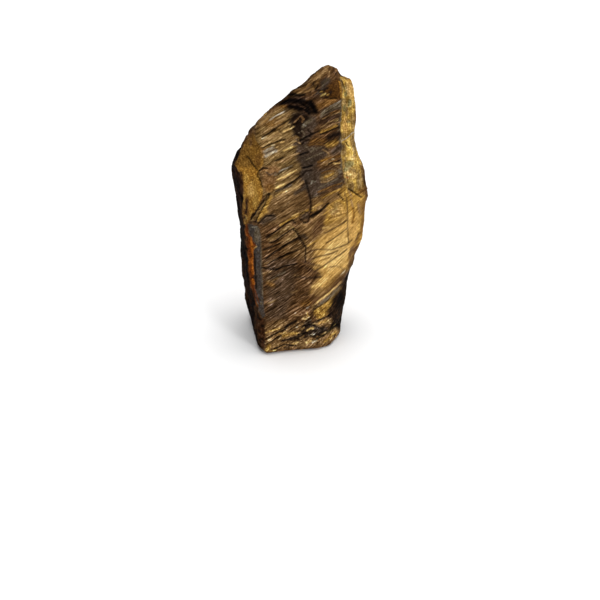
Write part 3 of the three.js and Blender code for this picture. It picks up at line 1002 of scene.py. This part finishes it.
class Nodes:
    """Makes and joins shader nodes."""

    def __init__(self, material):
        material.use_nodes = True
        self.tree = material.node_tree
        self.tree.nodes.clear()

    def put(self, node, name, value):
        """Link a socket to a node's input, or set the input to a value."""
        if isinstance(value, bpy.types.NodeSocket):
            self.tree.links.new(value, node.inputs[name])
        elif value is not None:
            node.inputs[name].default_value = value

    def new(self, kind, **inputs):
        node = self.tree.nodes.new(kind)
        for name, value in inputs.items():
            self.put(node, name.replace("_", " "), value)
        return node

    def fill(self, node, *values):
        """Give a node's inputs their values in order, but leave an input whose value is None."""
        for index, value in enumerate(values):
            self.put(node, index, value)
        return node.outputs[0]

    def mask(self, name, output="Fac"):
        """What the skin holds under a name."""
        node = self.new("ShaderNodeAttribute")
        node.attribute_name = name
        return node.outputs[output]

    def maths(self, operation, a, b=0.0, c=None, clamp=False):
        node = self.new("ShaderNodeMath")
        node.operation = operation
        node.use_clamp = clamp
        return self.fill(node, a, b, c)

    def centred(self, noise, swing):
        """A noise of 0 to 1 turned into one that swings about 0."""
        return self.maths("MULTIPLY_ADD", noise, swing, -swing / 2)

    def vector(self, operation, a, b):
        node = self.new("ShaderNodeVectorMath")
        node.operation = operation
        return self.fill(node, a, b)

    def noise(self, vector, scale, detail, roughness, distortion=0.0):
        node = self.new("ShaderNodeTexNoise", Vector=vector, Scale=scale, Detail=detail, Roughness=roughness)
        self.put(node, "Distortion", distortion)
        return node.outputs["Fac"]

    def mix_number(self, fac, a, b):
        return self.fill(self.new("ShaderNodeMix"), fac, None, a, b)

    def show(self, shader):
        """Join a shader to the material's output."""
        self.new("ShaderNodeOutputMaterial", Surface=shader.outputs[0])


# How far each noise changes the brightness, as a power of e
STREAK_SWING = 1.3
THREAD_SWING = 7.2
CREASE_SWING = -1.1
GLINT_SWING = 1.2
GRAIN_SWING = 2.0
SPECKLE_SWING = 4.0

# A crease runs where its noise is close to a half, and glints are its noise's highest parts.
CREASE_SHARPNESS = 26.0
GLINT_SHARPNESS = 7.0
GLINT_START = 4.4

GRAINS_TO_A_METRE = 900.0
SPECKLES_TO_A_METRE = 2100.0

# The finest relief, as shares of the bump
THREAD_BUMP = 0.6
GRAIN_BUMP = 0.5
STREAK_BUMP = 0.8
BUMP_STRENGTH = 0.6
BUMP_HEIGHT_M = 0.0004

SHINY_ROUGHNESS = 0.22
ROUGHER_GRAIN = 0.3
SPECULAR = 0.02


def stone_material():
    material = bpy.data.materials.new("tigers_eye")
    nodes = Nodes(material)
    where = nodes.new("ShaderNodeTexCoord").outputs["Object"]
    fibre_mm = nodes.mask("fibre", "Vector")
    fibrous = nodes.mask("fibrous")

    def drawn_out(lumps_to_a_mm, *shape):
        """Noise with its lumps drawn out along the fibres."""
        return nodes.noise(nodes.vector("MULTIPLY", fibre_mm, lumps_to_a_mm), 1.0, *shape)

    streak = drawn_out((0.12, 1.1, 0.35), 4.0, 0.65, 0.2)
    thread = drawn_out((0.15, 2.2, 0.6), 2.0, 0.6)
    glint = drawn_out((0.5, 1.9, 1.0), 1.0, 0.5)
    crease = drawn_out((0.16, 1.1, 0.3), 2.0, 0.5, 0.4)
    grain = nodes.noise(where, GRAINS_TO_A_METRE, 3.0, 0.6)
    speckle = nodes.noise(where, SPECKLES_TO_A_METRE, 2.0, 0.6)

    swing = nodes.maths("ADD", nodes.centred(streak, STREAK_SWING), nodes.centred(thread, THREAD_SWING))
    crease = nodes.maths("ABSOLUTE", nodes.maths("SUBTRACT", crease, 0.5))
    crease = nodes.maths("MULTIPLY_ADD", crease, -CREASE_SHARPNESS, 1.0, clamp=True)
    swing = nodes.maths("MULTIPLY_ADD", crease, CREASE_SWING, swing)
    glint = nodes.maths("MULTIPLY_ADD", glint, GLINT_SHARPNESS, -GLINT_START, clamp=True)
    swing = nodes.maths("MULTIPLY_ADD", glint, GLINT_SWING, swing)
    swing = nodes.maths("MULTIPLY", swing, fibrous)
    dust = nodes.maths("ADD", nodes.centred(grain, GRAIN_SWING), nodes.centred(speckle, SPECKLE_SWING))
    swing = nodes.maths("MULTIPLY_ADD", dust, nodes.mask("grainy"), swing)
    factors = [nodes.maths("POWER", math.e**share, swing) for share in CHANNEL_SWING]
    factors = nodes.new("ShaderNodeCombineXYZ", X=factors[0], Y=factors[1], Z=factors[2]).outputs[0]
    shaded = nodes.vector("MULTIPLY", nodes.mask("paint", "Vector"), factors)
    base = nodes.vector("MINIMUM", shaded, (BRIGHTEST, BRIGHTEST, BRIGHTEST))

    relief = nodes.maths("MULTIPLY_ADD", thread, THREAD_BUMP, nodes.maths("MULTIPLY", grain, GRAIN_BUMP))
    raised_streak = nodes.maths("MULTIPLY", nodes.maths("MULTIPLY", streak, fibrous), STREAK_BUMP)
    relief = nodes.maths("ADD", relief, raised_streak)
    bump = nodes.new("ShaderNodeBump", Strength=BUMP_STRENGTH, Distance=BUMP_HEIGHT_M, Height=relief)
    shiny = nodes.maths("MULTIPLY_ADD", grain, ROUGHER_GRAIN, SHINY_ROUGHNESS)
    roughness = nodes.mix_number(nodes.mask("glossy"), 1.0, shiny)
    shader = nodes.new("ShaderNodeBsdfPrincipled", Base_Color=base, Roughness=roughness)
    nodes.put(shader, "Normal", bump.outputs["Normal"])
    shader.inputs["Specular IOR Level"].default_value = SPECULAR
    nodes.show(shader)
    return material


skin.data.materials.clear()
skin.data.materials.append(stone_material())
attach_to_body(skin, "root")
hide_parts(NODE)


# The studio

FLOOR_SIZE_M = 6.0
FLOOR_WHITE = (0.96, 0.96, 0.96, 1)
FLOOR_ROUGHNESS = 0.9
FLOOR_SPECULAR = 0.1
WORLD_WHITE = (1, 1, 1, 1)
WORLD_STRENGTH = 0.3

half = FLOOR_SIZE_M / 2
floor_corners = [(-half, -half, 0), (half, -half, 0), (half, half, 0), (-half, half, 0)]
floor_mesh = bpy.data.meshes.new("floor")
floor_mesh.from_pydata(floor_corners, [], [(0, 1, 2, 3)])
floor = new_object("floor", floor_mesh)
floor_material = bpy.data.materials.new("floor")
floor_nodes = Nodes(floor_material)
floor_shader = floor_nodes.new("ShaderNodeBsdfPrincipled", Roughness=FLOOR_ROUGHNESS)
floor_shader.inputs["Base Color"].default_value = FLOOR_WHITE
floor_shader.inputs["Specular IOR Level"].default_value = FLOOR_SPECULAR
floor_nodes.show(floor_shader)
floor_mesh.materials.append(floor_material)

world = bpy.data.worlds.new("studio")
world.use_nodes = True
world.node_tree.nodes["Background"].inputs["Color"].default_value = WORLD_WHITE
world.node_tree.nodes["Background"].inputs["Strength"].default_value = WORLD_STRENGTH
bpy.context.scene.world = world


def sun(name, direction, strength, spread):
    """A far soft light that shines along a direction."""
    light = bpy.data.lights.new(name, "SUN")
    light.energy = strength
    light.angle = math.radians(spread)
    lamp = new_object(name, light)
    lamp.rotation_euler = Vector(direction).to_track_quat("-Z", "Y").to_euler()


sun("overhead", (-0.05, -0.14, -1), 2.6, 45)
sun("key", (-0.6, 0.75, -0.35), 1.25, 15)

view = bpy.context.scene.view_settings
view.view_transform = "Standard"
view.look = "None"
view.exposure = 0
view.gamma = 1
